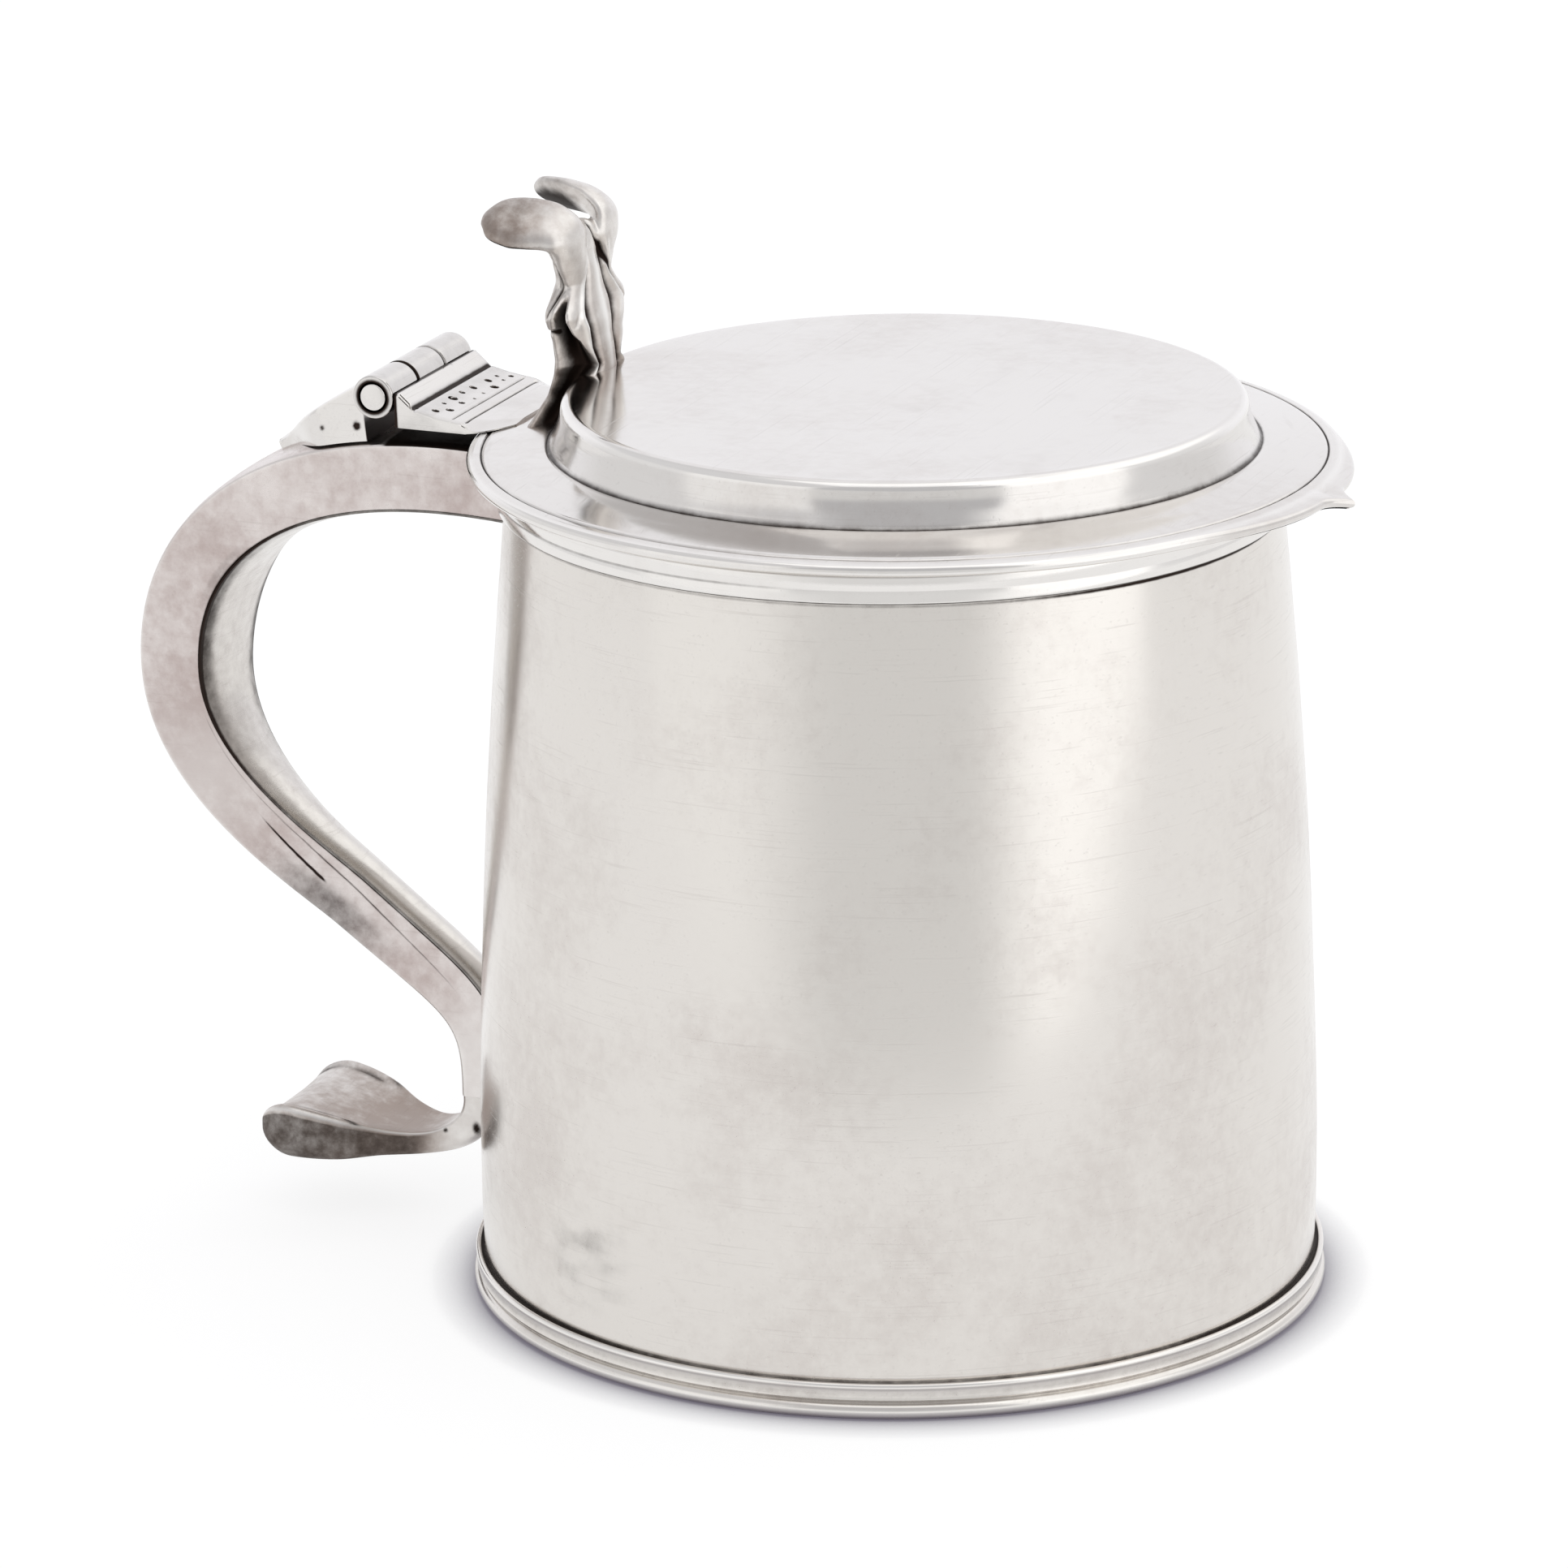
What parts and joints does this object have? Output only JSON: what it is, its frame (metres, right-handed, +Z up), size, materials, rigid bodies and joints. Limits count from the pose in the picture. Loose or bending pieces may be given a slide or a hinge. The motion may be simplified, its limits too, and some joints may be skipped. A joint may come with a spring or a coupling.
{
  "type": "lidded silver tankard",
  "caption": "Tapered silver drinking tankard with a moulded foot and lip, a scroll handle and a stepped lid with a front peak that a forked thumbpiece lifts on its hinge.",
  "frame": {"origin": "middle of the base, on the surface that the foot stands on", "axes": "+Z up along the barrel's axis, +X towards the lid's peak, handle and hinge on the -X side, hinge axis along Y"},
  "size_m": [0.1871, 0.1254, 0.1588],
  "materials": {
    "silver": "softly polished silver with fine scratches",
    "tarnished_silver": "silver with a thin pinkish tarnish",
    "dark_silver": "silver, dark with tarnish"
  },
  "bodies": {
    "vessel": {"body_wall": "silver", "base_plate": "silver", "foot_moulding": "silver", "lip_moulding": "silver", "handle_shell": "tarnished_silver", "handle_inner_strap": "silver", "handle_terminal": "dark_silver", "handle_hinge_plate": "silver", "handle_knuckle_near": "silver", "handle_knuckle_far": "silver", "hinge_pin": "dark_silver"},
    "lid": {"lid": "silver", "lid_bezel": "silver", "lid_hinge_plate": "silver", "lid_knuckle": "silver", "thumbpiece": "silver"}
  },
  "joints": [
    {"name": "lid_hinge", "type": "hinge", "parent": "vessel", "child": "lid", "pos_m": [-0.0754, 0, 0.1289], "axis": [0, -1, 0], "range_deg": [0, 145]}
  ]
}
